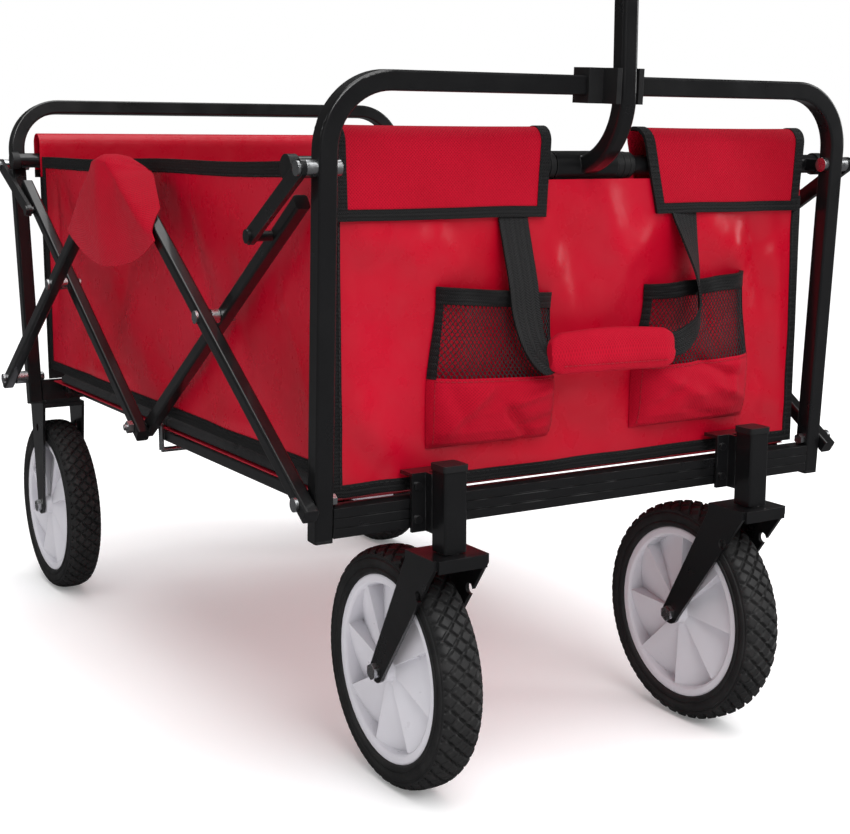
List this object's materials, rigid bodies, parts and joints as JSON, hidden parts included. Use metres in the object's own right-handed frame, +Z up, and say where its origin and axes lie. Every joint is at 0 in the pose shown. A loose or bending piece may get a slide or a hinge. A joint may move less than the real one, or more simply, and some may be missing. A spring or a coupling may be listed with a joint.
{
  "type": "folding wagon with pull handle",
  "caption": "Folding utility wagon with a red fabric tub on a black scissor frame, swivelling front wheels, and a hinged telescoping pull handle.",
  "frame": {"origin": "on the floor under the middle of the bounding box", "axes": "+X to the right seen from the handle end, +Y from the handle end to the rear, +Z up"},
  "size_m": [0.5692, 0.907, 0.985],
  "materials": {
    "frame_steel": "semi-gloss black powder coat",
    "black_plastic": "satin black moulded",
    "zinc_steel": "bright zinc plate",
    "red_coated_cloth": "coated polyester, soft gloss",
    "red_woven_cloth": "woven polyester",
    "black_webbing": "ribbed webbing",
    "black_mat": "woven mat over stiff board",
    "tyre": "matt rubber",
    "grey_plastic": "satin light grey moulded",
    "grip_rubber": "soft touch"
  },
  "bodies": {
    "front_end": {"front_frame": "frame_steel", "front_rail": "frame_steel", "front_cross_tube": "frame_steel", "front_end_caps": "black_plastic", "front_pivot_bolts": "zinc_steel", "stem_sockets": "frame_steel", "handle_clip": "black_plastic", "front_panel": "red_coated_cloth", "front_flaps": "red_woven_cloth", "front_bindings": "black_webbing", "pockets": "red_woven_cloth", "carry_straps": "black_webbing", "carry_grip": "red_woven_cloth", "floor_cloth": "red_coated_cloth", "side_panel_left": "red_coated_cloth", "side_panel_right": "red_coated_cloth", "side_bindings": "black_webbing"},
    "handle_lower": {"handle_tube": "frame_steel", "handle_collar": "black_plastic"},
    "handle_upper": {"handle_inner_tube": "frame_steel", "handle_grip": "black_plastic", "grip_sleeve": "grip_rubber"},
    "handle_lock": {"handle_button": "black_plastic"},
    "caster_left": {"caster_fork_left": "frame_steel", "caster_axle_left": "zinc_steel"},
    "caster_right": {"caster_fork_right": "frame_steel", "caster_axle_right": "zinc_steel"},
    "wheel_front_left": {"tyre_front_left": "tyre", "hub_front_left": "grey_plastic"},
    "wheel_front_right": {"tyre_front_right": "tyre", "hub_front_right": "grey_plastic"},
    "wheel_rear_left": {"tyre_rear_left": "tyre", "hub_rear_left": "grey_plastic"},
    "wheel_rear_right": {"tyre_rear_right": "tyre", "hub_rear_right": "grey_plastic"},
    "bars_a": {"scissor_front_outer": "frame_steel", "rivets_front": "zinc_steel"},
    "bars_b": {"scissor_front_inner": "frame_steel", "centre_rod": "zinc_steel"},
    "bars_c": {"scissor_rear_inner": "frame_steel"},
    "bars_d": {"scissor_rear_outer": "frame_steel", "rivets_rear": "zinc_steel"},
    "apex": {"side_gussets": "red_woven_cloth"},
    "link_front": {"front_links": "frame_steel"},
    "link_rear": {"rear_links": "frame_steel"},
    "floor_front": {"lower_rails_front": "frame_steel", "mat_front": "black_mat"},
    "floor_rear": {"lower_rails_rear": "frame_steel", "mat_rear": "black_mat"},
    "rear_end": {"rear_frame": "frame_steel", "rear_rail": "frame_steel", "rear_cross_tube": "frame_steel", "rear_end_caps": "black_plastic", "rear_pivot_bolts": "zinc_steel", "rear_forks": "frame_steel", "rear_axles": "zinc_steel", "rear_panel": "red_coated_cloth", "rear_binding": "black_webbing"}
  },
  "joints": [
    {"name": "fold", "type": "hinge", "parent": "front_end", "child": "bars_a", "pos_m": [0, -0.3965, 0.257], "axis": [1, 0, 0], "range_deg": [0, 44.5], "deforming": ["side_panel_left", "side_panel_right", "side_bindings", "floor_cloth", "mat_front", "mat_rear"]},
    {"name": "cross_front", "type": "hinge", "parent": "bars_a", "child": "bars_b", "pos_m": [0, -0.21375, 0.37796], "axis": [1, 0, 0], "range_deg": [-89, 0]},
    {"name": "centre_bottom", "type": "hinge", "parent": "bars_b", "child": "bars_c", "pos_m": [0, -0.031, 0.257], "axis": [1, 0, 0], "range_deg": [0, 89]},
    {"name": "cross_rear", "type": "hinge", "parent": "bars_c", "child": "bars_d", "pos_m": [0, 0.15175, 0.37796], "axis": [1, 0, 0], "range_deg": [-89, 0]},
    {"name": "rear_pivot", "type": "hinge", "parent": "bars_d", "child": "rear_end", "pos_m": [0, 0.3345, 0.257], "axis": [1, 0, 0], "range_deg": [0, 44.5]},
    {"name": "apex_pivot", "type": "hinge", "parent": "bars_a", "child": "apex", "pos_m": [0, -0.031, 0.49892], "axis": [1, 0, 0], "range_deg": [-44.5, 0]},
    {"name": "link_front_pivot", "type": "hinge", "parent": "front_end", "child": "link_front", "pos_m": [0, -0.40928, 0.50083], "axis": [1, 0, 0], "range_deg": [0, 102.42]},
    {"name": "link_rear_pivot", "type": "hinge", "parent": "rear_end", "child": "link_rear", "pos_m": [0, 0.35801, 0.49676], "axis": [1, 0, 0], "range_deg": [-93.04, 0]},
    {"name": "floor_front_hinge", "type": "hinge", "parent": "front_end", "child": "floor_front", "pos_m": [0, -0.3705, 0.246], "axis": [1, 0, 0], "range_deg": [0, 78.94]},
    {"name": "floor_rear_hinge", "type": "hinge", "parent": "rear_end", "child": "floor_rear", "pos_m": [0, 0.3085, 0.246], "axis": [1, 0, 0], "range_deg": [-78.94, 0]},
    {"name": "handle_hinge", "type": "hinge", "parent": "front_end", "child": "handle_lower", "pos_m": [0, -0.37826, 0.50129], "axis": [1, 0, 0], "range_deg": [0, 90], "deforming": ["front_panel"]},
    {"name": "handle_extend", "type": "slide", "parent": "handle_lower", "child": "handle_upper", "axis": [0, 0, 1], "range_m": [0, 0.17]},
    {"name": "lock_press", "type": "slide", "parent": "handle_lower", "child": "handle_lock", "axis": [0, 1, 0], "range_m": [0, 0.0025], "stiffness_N_per_m": 300},
    {"name": "swivel_left", "type": "hinge", "parent": "front_end", "child": "caster_left", "pos_m": [-0.152, -0.4255, 0.212], "axis": [0, 0, 1], "continuous": true},
    {"name": "swivel_right", "type": "hinge", "parent": "front_end", "child": "caster_right", "pos_m": [0.152, -0.4255, 0.212], "axis": [0, 0, 1], "continuous": true},
    {"name": "spin_front_left", "type": "hinge", "parent": "caster_left", "child": "wheel_front_left", "pos_m": [-0.152, -0.3535, 0.1], "axis": [1, 0, 0], "continuous": true},
    {"name": "spin_front_right", "type": "hinge", "parent": "caster_right", "child": "wheel_front_right", "pos_m": [0.152, -0.3535, 0.1], "axis": [1, 0, 0], "continuous": true},
    {"name": "spin_rear_left", "type": "hinge", "parent": "rear_end", "child": "wheel_rear_left", "pos_m": [-0.2145, 0.3535, 0.1], "axis": [1, 0, 0], "continuous": true},
    {"name": "spin_rear_right", "type": "hinge", "parent": "rear_end", "child": "wheel_rear_right", "pos_m": [0.2145, 0.3535, 0.1], "axis": [1, 0, 0], "continuous": true}
  ],
  "couplings": [
    {"joint": "cross_front", "follows": "fold", "ratio": -2},
    {"joint": "centre_bottom", "follows": "fold", "ratio": 2},
    {"joint": "cross_rear", "follows": "fold", "ratio": -2},
    {"joint": "rear_pivot", "follows": "fold", "ratio": 1},
    {"joint": "apex_pivot", "follows": "fold", "ratio": -1},
    {"joint": "link_front_pivot", "follows": "fold", "ratio": 2.3015},
    {"joint": "link_rear_pivot", "follows": "fold", "ratio": -2.0908},
    {"joint": "floor_front_hinge", "follows": "fold", "ratio": 1.7739},
    {"joint": "floor_rear_hinge", "follows": "fold", "ratio": -1.7739}
  ]
}
